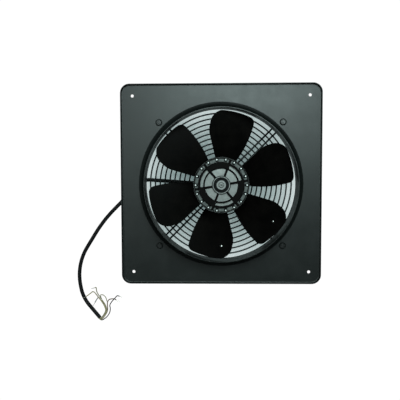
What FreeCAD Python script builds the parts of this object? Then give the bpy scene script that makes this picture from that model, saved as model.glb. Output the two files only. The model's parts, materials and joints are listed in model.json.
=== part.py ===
"""Square-plate axial exhaust fan with an external-rotor motor, wire guard and power cable.

Units are millimetres.  +Z is up and the fan's axis is the Y axis.  The origin is the centre of
the opening, in the plane of the plate's guard-side face.  The collar and the folded edge of the
plate point towards -Y; the wire guard and the motor's fixed flange are on the +Y side.
"""
import FreeCAD, Part
import math
import os
import Sketcher

Vector = FreeCAD.Vector
Rotation = FreeCAD.Rotation
Placement = FreeCAD.Placement

ORIGIN = Vector(0, 0, 0)
FAN_AXIS = Vector(0, 1, 0)
DIAGONAL = -45.0
EPSILON = 1e-9
SAME_PLACE = 1e-6

# ---------------------------------------------------------------- driving dimensions
SIZES = {
    # wall plate, pressed from sheet
    "plate_side": 430.0,
    "plate_corner": 20.0,
    "sheet": 1.2,
    "tray_depth": 9.0,
    "tray_bend": 2.0,
    "hole_spacing": 380.0,
    "corner_hole_radius": 3.3,
    "collar_radius": 159.4,
    "collar_end": -60.0,
    "nozzle_bend": 17.6,
    "fixing_radius": 188.0,
    "boss_base": 7.5,
    "boss_top": 5.2,
    "boss_height": 2.0,
    "boss_hole": 3.6,
    # wire guard
    "rod_radius": 2.0,
    "rod_offset": 6.0,
    "wire_radius": 1.6,
    "first_ring": 58.8,
    "ring_pitch": 10.8,
    "flat_rings": 11,
    "slope_rings": 3,
    "guard_height": 29.0,
    "slope_top": 170.0,
    "slope_foot": 179.5,
    "rod_start": 36.0,
    "support_front": 24.0,
    "support_back": 27.0,
    "support_inner": 34.0,
    "support_outer": 56.0,
    # fixings
    "nut_radius": 4.4,
    "guard_screw_radius": 2.5,
    "guard_screw_head": 4.75,
    "guard_screw_tip": -5.4,
    "nut_chamfer": 0.4,
    "nut_height": 1.3,
    "nut_neck_end": -0.3,
    "guard_washer_radius": 7.5,
    "washer_sheet": 1.2,
    "screw_head_height": 3.4,
    "screw_head_bevel": 1.2,
    "screw_tip_bevel": 0.6,
    "socket_depth": 1.8,
    "motor_screw_circle": 45.0,
    "motor_screw_radius": 2.0,
    "motor_screw_head": 3.6,
    "motor_screw_tip": 12.0,
    "motor_washer_radius": 4.5,
    "motor_washer_sheet": 0.8,
    # fits
    "press_fit": 0.01,
    "thread_clearance": 0.05,
    "hole_clearance": 0.25,
    "over_cut": 1.0,
    # rotor
    "hub_face": -62.0,
    "hub_end": -10.0,
    "hub_outer": 57.5,
    "hub_inner": 54.2,
    "bell_face": -59.0,
    "bell_back": -54.0,
    "bell_outer": 54.0,
    "can_end": -8.0,
    "hub_round": 1.2,
    "ring_rise": 1.2,
    "ring_bevel": 1.0,
    "centre_ring_inner": 17.9,
    "centre_ring_outer": 19.2,
    "centre_ring_drop": 0.6,
    "middle_ring_inner": 33.8,
    "middle_ring_outer": 47.4,
    "window_inner": 36.8,
    "window_outer": 42.8,
    "spoke_width": 4.4,
    "spoke_start": 18.5,
    "spoke_overlap": 0.5,
    "bell_rise": 1.0,
    "bell_rise_radius": 9.4,
    "recess_radius": 16.2,
    "recess_depth": 5.5,
    "lip_radius": 17.6,
    "lip_rise": 0.8,
    "bell_boss_root": 18.0,
    "bell_boss_end": 15.0,
    "bell_boss_back": -47.0,
    "pin_circle": 52.6,
    "pin_radius": 1.3,
    "pin_length": 2.6,
    "rim_pad_inner": 48.3,
    "rim_pad_outer": 53.9,
    "rim_pad_rise": 1.0,
    "blade_tip": 154.5,
    "blade_sheet": 2.6,
    "blade_lead": 57.0,
    "blade_camber": 5.0,
    "blade_middle": -35.0,
    "shaft_radius": 6.0,
    "shaft_front": -61.0,
    "shaft_back": 20.6,
    "shaft_front_bevel": 1.2,
    "shaft_back_bevel": 0.8,
    "centre_mark_radius": 1.6,
    "centre_mark_floor": 0.5,
    "centre_mark_depth": 2.2,
    "circlip_groove_start": 0.1,
    "circlip_groove_width": 1.1,
    "circlip_groove_depth": 0.6,
    "circlip_outer": 8.2,
    "circlip_sheet": 1.0,
    "circlip_gap": 3.2,
    "spacer_outer": 8.6,
    "rotor_bore": 45.6,
    "lamination_outer": 50.0,
    "bar_circle": 47.8,
    "bar_radius": 1.4,
    # stator
    "stack_front": -44.0,
    "stack_back": -14.0,
    "stator_radius": 45.2,
    "tube_outer": 20.0,
    "tube_front": -45.5,
    "flange_front": -4.0,
    "flange_web": 18.0,
    "flange_outer": 50.0,
    "flange_skirt": 46.0,
    "slot_count": 24,
    "slot_width": 4.8,
    "slot_mouth": 2.0,
    "slot_root": 28.5,
    "tooth_tip": 2.0,
    "insulator_sheet": 1.0,
    "insulator_inner": 24.0,
    "insulator_inset": 0.6,
    "winding_inner": 28.7,
    "winding_outer": 42.9,
    "winding_round": 2.5,
    "front_turns": 7.0,
    "rear_turns": 8.0,
    "coil_clearance": 0.2,
    "coil_inset": 0.1,
    "coil_overlap": 2.0,
    "switch_inner": 31.0,
    "switch_outer": 38.0,
    "switch_width": 11.0,
    "switch_round": 1.0,
    "switch_thickness": 4.0,
    "motor_boss_radius": 5.0,
    "motor_boss_inset": 1.5,
    "motor_boss_length": 10.0,
    "thread_depth": 15.0,
    "grommet_hole": 6.0,
    "grommet_lip": 6.8,
    "grommet_lip_sheet": 1.5,
    "grommet_nose": 6.2,
    "grommet_nose_length": 2.4,
    # bearings, 12 x 32 x 10
    "bearing_bore": 6.0,
    "bearing_outer": 16.0,
    "bearing_half": 5.0,
    "bearing_shoulder": 13.2,
    "outer_race_bore": 13.0,
    "inner_race_outer": 9.0,
    "ball_circle": 11.0,
    "ball_radius": 2.975,
    "groove_radius": 3.0,
    "cage_inner": 10.0,
    "cage_outer": 12.0,
    "cage_width": 7.2,
    "cage_clearance": 0.1,
    "shield_inner": 9.15,
    "shield_outer": 12.98,
    "shield_sheet": 0.3,
    "front_bearing": -39.0,
    "rear_bearing": 13.0,
    "spring_inner": 13.6,
    "spring_outer": 15.7,
    "spring_start": 0.2,
    "spring_end": 0.8,
    "cap_radius": 15.0,
    "cap_front": 20.4,
    "cap_floor": 22.0,
    "cap_back": 23.2,
    # cable
    "cable_radius": 4.1,
    "core_radius": 1.08,
    "strand_radius": 0.55,
    "cable_exit": 27.0,
}

# Where the drawn nozzle meets the flat of the plate.
NOZZLE_EDGE = "size.collar_radius + size.nozzle_bend + 1"

# Directions on the rotor at rest, clockwise from straight up as seen from the collar side.
BLADE_COUNT = 6
BLADE_TURN = 10.5
SPOKE_FROM_BLADE = 10.0

# One blade's outline, as (radius, angle from the blade's own centre line).  The impeller turns
# clockwise.  The trailing edge has the large rounding at the tip and the leading edge the tight
# one, and the leading edge lies nearer the guard.
TRAILING_BEND_START = (106.0, -23.3)
TRAILING_BEND = (117.0, -22.6)
TRAILING_EDGE_TOP = (127.3, -20.8)
TRAILING_ROUND = (147.6, -15.3)
TRAILING_TIP_ANGLE = -10.3
LEADING_TIP_ANGLE = 13.4
LEADING_ROUND = (150.8, 16.7)
LEADING_EDGE_TOP = (143.4, 18.3)
LEADING_MIDDLE = (105.0, 21.7)
ROOT_RADIUS = 55.6
ROOT_TRAILING_ANGLE = -22.9
ROOT_LEADING_ANGLE = 22.4

# The blade's middle surface is fitted through a fan of points, well past the outline.
CAMBER_ANGLE = 26.0
SURFACE_RADII = [48.0 + 19.0 * step for step in range(7)]
SURFACE_ANGLES = [-32.0 + 8.0 * step for step in range(9)]
OFFSET_TOLERANCE = 0.01
STENCIL_FRONT = -100.0
STENCIL_LENGTH = 140.0

# The three windows in the hub's middle ring, in degrees from a spoke's sketch's X axis.
WINDOW_COUNT = 3
WINDOW_START = 34.0
WINDOW_END = 86.0

# The raised pads on the bell's rim lie midway between its pins; a spoke crosses every third one
# in a channel.  Widths are in degrees round the rim.
PIN_COUNT = 18
RIM_PAD_WIDTH = 13.0
SPOKE_CHANNEL_WIDTH = 5.8

BALL_COUNT = 7
BAR_COUNT = 30
FIXING_COUNT = 4

# The guard's ring wires on its sloping side lie between these shares of the slope's length.
SLOPE_FIRST = 0.15
SLOPE_LAST = 0.68
WELD_GAP = 0.06
TOP_BEND = 8.0
FOOT_BEND = 4.0

# The recess in a screw's head, as a share of the screw's own radius.
RECESS_SHARE = 0.7

# Balance rivets: blade number, radius, angle from that blade's centre line.
BALANCE_PLACES = ((3, 128.0, -10.5), (2, 133.0, -5.1))
RIVET_SHANK = 1.6
RIVET_HEAD = 2.6
RIVET_HEAD_HEIGHT = 0.8
RIVET_TAPER = 0.6
RIVET_PROUD = 0.15
RIVET_CLEARANCE = 0.02
RIVET_HOLE_LENGTH = 20.0

# Corners of the cable's centre line, from inside the motor flange to the end of the sheath, and
# the bend radius at each inner corner.
CABLE_ROUTE = (
    (-27.0, 8.0, 0.0),
    (-27.0, 41.0, 0.0),
    (-172.0, 41.0, 10.5),
    (-203.0, 10.0, -23.8),
    (-257.6, 10.0, -78.4),
    (-319.0, 10.0, -177.5),
    (-305.8, 10.0, -250.5),
    (-268.5, 10.0, -295.5),
)
CABLE_BENDS = (13.0, 24.0, 24.0, 300.0, 120.0, 85.0)
MOUTH_DEPTH = 6.0
MOUTH_WALL = 0.6
MOUTH_OVER_CUT = 2.0
SOFT_SHARE = 0.48

# Each core starts inside the mouth of the sheath, on a circle round the cable's middle.
CORE_START = 3.0
CORE_CIRCLE = 2.25
CORE_ANGLES = {
    "core_grey": 0.0,
    "core_white": 60.0,
    "core_brown": 120.0,
    "core_black": 180.0,
    "core_cream": 240.0,
    "core_yellow_green": 300.0,
}

# Where each core goes after it leaves the sheath, as (x, y, z).
CORE_ROUTES = {
    "core_yellow_green": (
        (-265.6, 8.0, -297.3),
        (-258.5, 7.5, -289.3),
        (-253.7, 7.5, -279.9),
        (-257.1, 7.5, -268.0),
        (-264.0, 7.0, -257.7),
        (-271.0, 5.5, -248.2),
        (-277.0, 4.0, -238.8),
        (-281.5, 3.4, -235.0),
        (-289.2, 3.2, -241.0),
        (-296.5, 3.0, -246.3),
    ),
    "core_cream": (
        (-265.6, 8.0, -301.2),
        (-256.5, 7.5, -290.7),
        (-251.3, 7.5, -280.1),
        (-254.9, 7.5, -267.0),
        (-262.0, 7.5, -256.3),
        (-269.0, 8.0, -246.8),
        (-274.8, 8.0, -237.0),
        (-275.5, 8.0, -227.0),
        (-279.0, 8.0, -228.2),
    ),
    "core_grey": (
        (-265.2, 10.0, -296.0),
        (-259.5, 10.0, -288.6),
        (-254.9, 10.0, -279.8),
        (-258.2, 10.0, -268.5),
        (-265.0, 10.0, -258.4),
        (-271.5, 10.5, -248.5),
        (-276.5, 10.0, -257.0),
        (-279.0, 9.5, -261.4),
    ),
    "core_white": (
        (-265.6, 12.0, -297.3),
        (-258.5, 12.5, -289.3),
        (-253.7, 12.5, -279.9),
        (-257.1, 12.5, -268.0),
        (-264.0, 12.5, -257.7),
        (-268.5, 13.5, -245.0),
        (-262.0, 15.0, -245.5),
        (-256.0, 15.0, -250.5),
        (-253.6, 15.0, -259.5),
    ),
    "core_black": (
        (-265.7, 10.0, -302.9),
        (-253.0, 10.0, -294.5),
        (-246.0, 9.5, -284.0),
        (-244.8, 9.0, -274.0),
        (-246.3, 8.0, -267.5),
        (-242.5, 7.0, -260.5),
        (-235.0, 6.0, -252.0),
        (-228.5, 6.0, -244.8),
        (-224.0, 6.0, -246.5),
    ),
    "core_brown": (
        (-265.6, 12.0, -301.2),
        (-256.5, 12.5, -290.7),
        (-251.3, 12.5, -280.1),
        (-252.0, 12.5, -269.0),
        (-252.0, 11.5, -261.5),
        (-248.0, 10.5, -254.5),
        (-241.0, 10.0, -253.5),
        (-236.0, 10.0, -253.2),
        (-231.5, 10.0, -256.0),
    ),
}
BARE_LENGTH = 8.0


# ---------------------------------------------------------------- document and sheet
document = FreeCAD.newDocument("wall_plate_fan")
sheet = document.addObject("Spreadsheet::Sheet", "size")
for row, (alias, number) in enumerate(SIZES.items(), start=1):
    sheet.set("A%d" % row, alias)
    sheet.set("B%d" % row, repr(number))
    sheet.setAlias("B%d" % row, alias)
document.recompute()

kept = []


def value(expression):
    """The number that an expression over the sheet's aliases stands for."""
    return float(sheet.evalExpression(expression))


def size(alias):
    """One driving dimension, read back from the sheet."""
    return value("size." + alias)


def negative(expression):
    return "-(%s)" % expression


# ---------------------------------------------------------------- building blocks
def new_body(name):
    """A sub-part of its own, kept for export."""
    body = document.addObject("PartDesign::Body", name)
    body.Label = name
    body.AllowCompound = True
    kept.append(body)
    return body


def new_shape(name, shape, turn=0.0):
    """A sub-part whose shape is computed, because no feature makes it, turned about the axis."""
    feature = document.addObject("Part::Feature", name)
    feature.Label = name
    feature.Shape = shape
    feature.Placement = Placement(ORIGIN, Rotation(FAN_AXIS, turn))
    kept.append(feature)
    return feature


def origin_item(body, role):
    return [item for item in body.Origin.OriginFeatures if item.Role == role][0]


def new_sketch(body, name, role, offset=None, turn=0.0):
    """A sketch on one of the body's origin planes, moved along its normal or turned about Y."""
    sketch = body.newObject("Sketcher::SketchObject", name)
    sketch.AttachmentSupport = [(origin_item(body, role), "")]
    sketch.MapMode = "FlatFace"
    if turn:
        sketch.AttachmentOffset = Placement(ORIGIN, Rotation(FAN_AXIS, turn))
    if offset is not None:
        sketch.setExpression("AttachmentOffset.Base.z", offset)
    return sketch


def pin_point(sketch, geometry, position, across, along):
    """Hold a sketch point at two expressions measured from the sketch's origin."""
    for kind, expression, axis in (("DistanceX", across, -2), ("DistanceY", along, -1)):
        number = value(expression)
        if abs(number) < EPSILON:
            sketch.addConstraint(Sketcher.Constraint("PointOnObject", geometry, position, axis))
        else:
            rule = Sketcher.Constraint(kind, -1, 1, geometry, position, number)
            index = sketch.addConstraint(rule)
            sketch.setExpression("Constraints[%d]" % index, expression)


def rounded_corner(before, corner, after, radius):
    """Start, end and middle of the arc that rounds a corner."""
    to_before = (before - corner).normalize()
    to_after = (after - corner).normalize()
    half = math.acos(max(-1.0, min(1.0, to_before.dot(to_after)))) / 2
    reach = radius / math.tan(half)
    inward = (to_before + to_after).normalize()
    centre = corner + inward * (radius / math.sin(half))
    return corner + to_before * reach, corner + to_after * reach, centre - inward * radius


def outline(sketch, corners):
    """A closed outline; a corner is (x, y) or (x, y, rounding radius), all expressions."""
    count = len(corners)
    places = [Vector(value(corner[0]), value(corner[1]), 0) for corner in corners]
    arcs = []
    for index, corner in enumerate(corners):
        if len(corner) == 3:
            neighbours = (places[index - 1], places[index], places[(index + 1) % count])
            arcs.append(rounded_corner(*neighbours, value(corner[2])))
        else:
            arcs.append((places[index], places[index], None))
    first = sketch.GeometryCount
    for index in range(count):
        following = arcs[(index + 1) % count]
        sketch.addGeometry(Part.LineSegment(arcs[index][1], following[0]), False)
    for index, corner in enumerate(corners):
        before = first + (index - 1) % count
        after = first + index
        start, end, middle = arcs[index]
        if middle is None:
            sketch.addConstraint(Sketcher.Constraint("Coincident", before, 2, after, 1))
            pin_point(sketch, after, 1, corner[0], corner[1])
            continue
        left_turn = (start - middle).cross(end - middle).z < 0
        low, high = (start, end) if left_turn else (end, start)
        near, far = (1, 2) if left_turn else (2, 1)
        arc = sketch.addGeometry(Part.Arc(low, middle, high), False)
        sketch.addConstraint(Sketcher.Constraint("Tangent", before, 2, arc, near))
        sketch.addConstraint(Sketcher.Constraint("Tangent", arc, far, after, 1))
        rule = sketch.addConstraint(Sketcher.Constraint("Radius", arc, value(corner[2])))
        sketch.setExpression("Constraints[%d]" % rule, corner[2])
        point = sketch.addGeometry(Part.Point(places[index]), True)
        sketch.addConstraint(Sketcher.Constraint("PointOnObject", point, 1, before))
        sketch.addConstraint(Sketcher.Constraint("PointOnObject", point, 1, after))
        pin_point(sketch, point, 1, corner[0], corner[1])
    return sketch


def circle(sketch, across, along, radius):
    """A circle placed and sized by expressions."""
    centre = Vector(value(across), value(along), 0)
    ring = sketch.addGeometry(Part.Circle(centre, Vector(0, 0, 1), value(radius)), False)
    pin_point(sketch, ring, 3, across, along)
    rule = sketch.addConstraint(Sketcher.Constraint("Radius", ring, value(radius)))
    sketch.setExpression("Constraints[%d]" % rule, radius)
    return sketch


def rounded_square(sketch, side, corner):
    half = "(%s) / 2" % side
    signs = ((-1, -1), (1, -1), (1, 1), (-1, 1))
    corners = []
    for across, along in signs:
        corners.append(("%d * %s" % (across, half), "%d * %s" % (along, half), corner))
    return outline(sketch, corners)


def pad(body, name, sketch, length, back=False, middle=False):
    """Add material from a sketch.  Sketches on the XZ plane grow towards -Y unless back is set."""
    feature = body.newObject("PartDesign::Pad", name)
    feature.Profile = sketch
    feature.setExpression("Length", length)
    feature.Reversed = back
    if middle:
        feature.SideType = "Symmetric"
    return feature


def pocket(body, name, sketch, length, towards_front):
    """Remove material from a sketch, towards -Y when towards_front is set."""
    feature = body.newObject("PartDesign::Pocket", name)
    feature.Profile = sketch
    feature.setExpression("Length", length)
    feature.Reversed = towards_front
    return feature


def bore(body, name, sketch):
    """Cut a sketch right through, both ways."""
    feature = body.newObject("PartDesign::Pocket", name)
    feature.Profile = sketch
    feature.Type = "ThroughAll"
    feature.SideType = "Symmetric"
    return feature


def turned(body, name, corners, centre=None, turn=0.0, cut=False):
    """A ring or disc turned about the fan's axis, or about a parallel line at `centre`."""
    sketch = new_sketch(body, name + "_section", "XY_Plane", turn=turn)
    axis = (sketch, ["V_Axis"])
    if centre is not None:
        line = Part.LineSegment(Vector(value(centre), 0, 0), Vector(value(centre), 1, 0))
        guide = sketch.addGeometry(line, True)
        sketch.addConstraint(Sketcher.Constraint("Vertical", guide))
        sketch.addConstraint(Sketcher.Constraint("DistanceY", guide, 1, guide, 2, 1.0))
        pin_point(sketch, guide, 1, centre, "0")
        axis = (sketch, ["Axis0"])
        corners = [("%s + %s" % (centre, corner[0]),) + tuple(corner[1:]) for corner in corners]
    outline(sketch, corners)
    kind = "PartDesign::Groove" if cut else "PartDesign::Revolution"
    feature = body.newObject(kind, name)
    feature.Profile = sketch
    feature.ReferenceAxis = axis
    return feature


def ring_section(inner, outer, front, back):
    return [(inner, front), (outer, front), (outer, back), (inner, back)]


def around(body, name, features, count):
    """Repeat features evenly about the fan's axis."""
    pattern = body.newObject("PartDesign::PolarPattern", name)
    pattern.Originals = features
    pattern.Axis = (origin_item(body, "Y_Axis"), [""])
    pattern.Angle = 360
    pattern.setExpression("Occurrences", str(count))
    body.Tip = pattern
    return pattern


def edges_where(feature, test):
    """Names of a feature's edges whose points all pass a test."""
    names = []
    for index, edge in enumerate(feature.Shape.Edges, start=1):
        points = edge.discretize(5)
        if all(test(point) for point in points):
            names.append("Edge%d" % index)
    return names


def fillet(body, name, base, edge_names, radius):
    feature = body.newObject("PartDesign::Fillet", name)
    feature.Base = (base, edge_names)
    feature.setExpression("Radius", radius)
    return feature


def polar(radius, degrees, depth=0.0):
    """A point at a radius and an angle clockwise from straight up, seen from the collar side."""
    angle = math.radians(degrees)
    return Vector(radius * math.sin(angle), depth, radius * math.cos(angle))


def turned_about_axis(shape, degrees):
    """A copy of a shape turned clockwise about the fan's axis, seen from the collar side."""
    copy = shape.copy()
    copy.rotate(ORIGIN, FAN_AXIS, degrees)
    return copy


# ---------------------------------------------------------------- wall plate
def make_wall_plate():
    body = new_body("wall_plate")
    outside = rounded_square(
        new_sketch(body, "plate_outline", "XZ_Plane"), "size.plate_side", "size.plate_corner")
    pad(body, "plate_blank", outside, "size.tray_depth")
    inside = rounded_square(
        new_sketch(body, "tray_outline", "XZ_Plane", "size.sheet"),
        "size.plate_side - 2 * size.sheet", "size.plate_corner - size.sheet")
    hollow = pocket(body, "tray_hollow", inside, "size.tray_depth", towards_front=True)
    document.recompute()
    back_rim = edges_where(hollow, lambda point: abs(point.y) < SAME_PLACE)
    outer_bend = fillet(body, "outer_bend", hollow, back_rim, "size.tray_bend + size.sheet")
    document.recompute()
    floor = -size("sheet")
    floor_rim = edges_where(outer_bend, lambda point: abs(point.y - floor) < SAME_PLACE)
    fillet(body, "inner_bend", outer_bend, floor_rim, "size.tray_bend")
    opening = circle(new_sketch(body, "opening_outline", "XZ_Plane"), "0", "0", NOZZLE_EDGE)
    bore(body, "opening", opening)
    add_collar(body)
    add_guard_bosses(body)
    add_corner_holes(body)


def add_collar(body):
    """The drawn nozzle: a rounded inlet that runs into a short straight collar."""
    inner = "size.collar_radius - size.sheet"
    turned(body, "collar", [
        (NOZZLE_EDGE, "-size.sheet"),
        ("size.collar_radius", "-size.sheet", "size.nozzle_bend"),
        ("size.collar_radius", "size.collar_end"),
        (inner, "size.collar_end"),
        (inner, "0", "size.nozzle_bend + size.sheet"),
        (NOZZLE_EDGE, "0"),
    ])


def add_guard_bosses(body):
    """Four raised bosses that carry the guard's nuts."""
    top = "-size.sheet - size.boss_height"
    crown = turned(body, "boss_crown", [
        ("size.boss_hole", "-size.sheet"),
        ("size.boss_base", "-size.sheet"),
        ("size.boss_top", top),
        ("size.boss_hole", top),
    ], centre="size.fixing_radius", turn=DIAGONAL)
    hollow = turned(body, "boss_hollow", [
        ("0", "0"),
        ("size.boss_base - size.sheet", "0"),
        ("size.boss_top - size.sheet", "-size.boss_height"),
        ("0", "-size.boss_height"),
    ], centre="size.fixing_radius", turn=DIAGONAL, cut=True)
    hole = turned(body, "boss_hole", [
        ("0", "size.over_cut"),
        ("size.boss_hole", "size.over_cut"),
        ("size.boss_hole", top + " - size.over_cut"),
        ("0", top + " - size.over_cut"),
    ], centre="size.fixing_radius", turn=DIAGONAL, cut=True)
    around(body, "bosses", [crown, hollow, hole], FIXING_COUNT)


def add_corner_holes(body):
    half = "size.hole_spacing / 2"
    sketch = new_sketch(body, "corner_hole_outline", "XZ_Plane")
    for across in (half, negative(half)):
        for along in (half, negative(half)):
            circle(sketch, across, along, "size.corner_hole_radius")
    body.Tip = bore(body, "corner_holes", sketch)


# ---------------------------------------------------------------- wire guard and its fixings
def make_guard_nuts():
    """Press nuts seated in the plate's bosses."""
    body = new_body("guard_nuts")
    face = "-size.sheet - size.boss_height"
    bore_radius = "size.guard_screw_radius + size.thread_clearance"
    front = face + " - size.nut_height"
    neck = "size.boss_hole - 2 * size.press_fit"
    nut = turned(body, "nut", [
        (bore_radius, front),
        ("size.nut_radius - size.nut_chamfer", front),
        ("size.nut_radius", front + " + size.nut_chamfer"),
        ("size.nut_radius", face),
        (neck, face),
        (neck, "size.nut_neck_end"),
        (bore_radius, "size.nut_neck_end"),
    ], centre="size.fixing_radius", turn=DIAGONAL)
    around(body, "nuts", [nut], FIXING_COUNT)


def make_guard_washers():
    body = new_body("guard_washers")
    front = "2 * size.rod_radius"
    washer = turned(
        body, "washer",
        ring_section(
            "size.guard_screw_radius + size.hole_clearance", "size.guard_washer_radius",
            front, front + " + size.washer_sheet"),
        centre="size.fixing_radius", turn=DIAGONAL)
    around(body, "washers", [washer], FIXING_COUNT)


def add_screw(body, centre, turn, seat, tip, radius, head_radius):
    """Screws with a round recess in the head, which sits on `seat` and grows towards +Y."""
    top = seat + " + size.screw_head_height"
    shank = turned(body, "screw", [
        ("0", tip),
        (radius + " - size.screw_tip_bevel", tip),
        (radius, tip + " + size.screw_tip_bevel"),
        (radius, seat),
        (head_radius, seat),
        (head_radius, top + " - size.screw_head_bevel"),
        (head_radius + " - size.screw_head_bevel", top),
        ("0", top),
    ], centre=centre, turn=turn)
    recess_radius = radius + " * %s" % RECESS_SHARE
    recess = turned(body, "recess", [
        ("0", top + " - size.socket_depth"),
        (recess_radius, top + " - size.socket_depth"),
        (recess_radius, top + " + size.over_cut"),
        ("0", top + " + size.over_cut"),
    ], centre=centre, turn=turn, cut=True)
    around(body, "screws", [shank, recess], FIXING_COUNT)


def make_guard_screws():
    add_screw(
        new_body("guard_screws"), "size.fixing_radius", DIAGONAL,
        "2 * size.rod_radius + size.washer_sheet", "size.guard_screw_tip",
        "size.guard_screw_radius", "size.guard_screw_head")


def guard_ring_places():
    """Radius and depth of each ring wire: flat ones first, then those down the sloping side.

    The rods run beside the diagonals, so a ring on the slope is a little wider than the rods'
    distance along the diagonal.
    """
    lift = size("rod_radius") + size("wire_radius") + WELD_GAP
    flat = size("guard_height") + lift
    places = []
    for index in range(int(size("flat_rings"))):
        places.append((size("first_ring") + index * size("ring_pitch"), flat))
    top = Vector(size("slope_top"), size("guard_height"), 0)
    foot = Vector(size("slope_foot"), size("rod_radius"), 0)
    run = foot - top
    outward = Vector(-run.y, run.x, 0).normalize()
    count = int(size("slope_rings"))
    for index in range(count):
        share = SLOPE_FIRST + (SLOPE_LAST - SLOPE_FIRST) * index / (count - 1)
        place = top + run * share + outward * lift
        places.append((math.hypot(place.x, size("rod_offset")), place.y))
    return places


def make_guard_rings():
    rings = [
        Part.makeTorus(radius, size("wire_radius"), Vector(0, depth, 0), FAN_AXIS)
        for radius, depth in guard_ring_places()]
    new_shape("guard_rings", Part.makeCompound(rings))


def rounded_path(points, radii):
    """Straight runs through points, with each inner corner rounded to its own radius."""
    curves = []
    start = points[0]
    for index in range(1, len(points) - 1):
        near, far, middle = rounded_corner(
            points[index - 1], points[index], points[index + 1], radii[index - 1])
        curves.append(Part.LineSegment(start, near))
        curves.append(Part.Arc(near, middle, far))
        start = far
    curves.append(Part.LineSegment(start, points[-1]))
    return curves


def rod(curves, radius):
    """A round rod that follows joined lines and arcs, made of cylinders and bent pieces."""
    pieces = []
    for curve in curves:
        edge = curve.toShape()
        start = edge.valueAt(edge.FirstParameter)
        direction = edge.tangentAt(edge.FirstParameter)
        section = Part.Face(Part.Wire([Part.Circle(start, direction, radius).toShape()]))
        if isinstance(curve, Part.LineSegment):
            pieces.append(section.extrude(edge.valueAt(edge.LastParameter) - start))
        else:
            bend = math.degrees(edge.LastParameter - edge.FirstParameter)
            pieces.append(section.revolve(edge.Curve.Center, edge.Curve.Axis, bend))
    return pieces[0].fuse(pieces[1:])


def make_guard_struts():
    """Four hairpin rods: two legs from the motor, joined by an eye round each guard screw."""
    radius = size("rod_radius")
    height = size("guard_height")
    offset = size("rod_offset")
    reach = size("fixing_radius")
    leg = [
        Vector(-offset, height, size("rod_start")),
        Vector(-offset, height, size("slope_top")),
        Vector(-offset, radius, size("slope_foot")),
        Vector(-offset, radius, reach),
    ]
    mirrored = [Vector(-point.x, point.y, point.z) for point in reversed(leg)]
    bends = (TOP_BEND, FOOT_BEND)
    eye = Part.Arc(leg[-1], Vector(0, radius, reach + offset), mirrored[0])
    strut = rod(rounded_path(leg, bends) + [eye] + rounded_path(mirrored, bends[::-1]), radius)
    step = 360.0 / FIXING_COUNT
    struts = [turned_about_axis(strut, step * (index + 0.5)) for index in range(FIXING_COUNT)]
    new_shape("guard_struts", Part.makeCompound(struts))


def make_motor_support_ring():
    body = new_body("motor_support_ring")
    turned(body, "ring", ring_section(
        "size.support_inner", "size.support_outer", "size.support_front", "size.support_back"))
    sketch = circle(
        new_sketch(body, "screw_hole_outline", "XZ_Plane"), "size.motor_screw_circle", "0",
        "size.motor_screw_radius + size.hole_clearance")
    around(body, "screw_holes", [bore(body, "screw_hole", sketch)], FIXING_COUNT)


def make_motor_washers():
    body = new_body("motor_washers")
    washer = turned(
        body, "washer",
        ring_section(
            "size.motor_screw_radius + size.hole_clearance", "size.motor_washer_radius",
            "size.support_back", "size.support_back + size.motor_washer_sheet"),
        centre="size.motor_screw_circle")
    around(body, "washers", [washer], FIXING_COUNT)


def make_motor_screws():
    add_screw(
        new_body("motor_screws"), "size.motor_screw_circle", 0.0,
        "size.support_back + size.motor_washer_sheet", "size.motor_screw_tip",
        "size.motor_screw_radius", "size.motor_screw_head")


# ---------------------------------------------------------------- stator
def make_stator_flange():
    """The fixed end of the motor: skirt, web, bearing tube and four screw bosses."""
    body = new_body("stator_flange")
    seat = "size.bearing_outer + size.press_fit"
    rear_stop = "size.rear_bearing - size.bearing_half"
    front_stop = "size.front_bearing + size.bearing_half + size.over_cut"
    turned(body, "casting", [
        (seat, "size.tube_front"),
        ("size.tube_outer", "size.tube_front"),
        ("size.tube_outer", "size.flange_web"),
        ("size.flange_skirt", "size.flange_web"),
        ("size.flange_skirt", "size.flange_front"),
        ("size.flange_outer", "size.flange_front"),
        ("size.flange_outer", "size.support_front"),
        (seat, "size.support_front"),
        (seat, rear_stop),
        ("size.bearing_shoulder", rear_stop),
        ("size.bearing_shoulder", front_stop),
        (seat, front_stop),
    ])
    boss_sketch = circle(
        new_sketch(body, "boss_outline", "XZ_Plane", "-size.flange_web"),
        "size.motor_screw_circle - size.motor_boss_inset", "0", "size.motor_boss_radius")
    boss = pad(body, "screw_boss", boss_sketch, "size.motor_boss_length")
    hole_sketch = circle(
        new_sketch(body, "thread_outline", "XZ_Plane", "-size.support_front"),
        "size.motor_screw_circle", "0", "size.motor_screw_radius + size.thread_clearance")
    hole = pocket(body, "thread", hole_sketch, "size.thread_depth", towards_front=True)
    around(body, "fixings", [boss, hole], FIXING_COUNT)
    cable_sketch = circle(
        new_sketch(body, "cable_hole_outline", "XZ_Plane", "-size.support_front"),
        negative("size.cable_exit"), "0", "size.grommet_hole")
    depth = "size.support_front - size.flange_web + size.over_cut"
    body.Tip = pocket(body, "cable_hole", cable_sketch, depth, towards_front=True)


def slot_outline(sketch):
    """One stator slot, with its narrow mouth at the air gap."""
    root = "size.slot_root"
    shoulder = "size.stator_radius - size.tooth_tip"
    half = "size.slot_width / 2"
    mouth = "size.slot_mouth / 2"
    outer = "size.stator_radius + size.over_cut"
    return outline(sketch, [
        (root, negative(half)),
        (shoulder, negative(half)),
        (shoulder, negative(mouth)),
        (outer, negative(mouth)),
        (outer, mouth),
        (shoulder, mouth),
        (shoulder, half),
        (root, half),
    ])


def make_stator_core():
    body = new_body("stator_core")
    turned(body, "stack", ring_section(
        "size.tube_outer + size.press_fit", "size.stator_radius",
        "size.stack_front", "size.stack_back"))
    slot = bore(body, "slot", slot_outline(new_sketch(body, "slot_shape", "XZ_Plane")))
    around(body, "slots", [slot], "size.slot_count")


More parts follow.
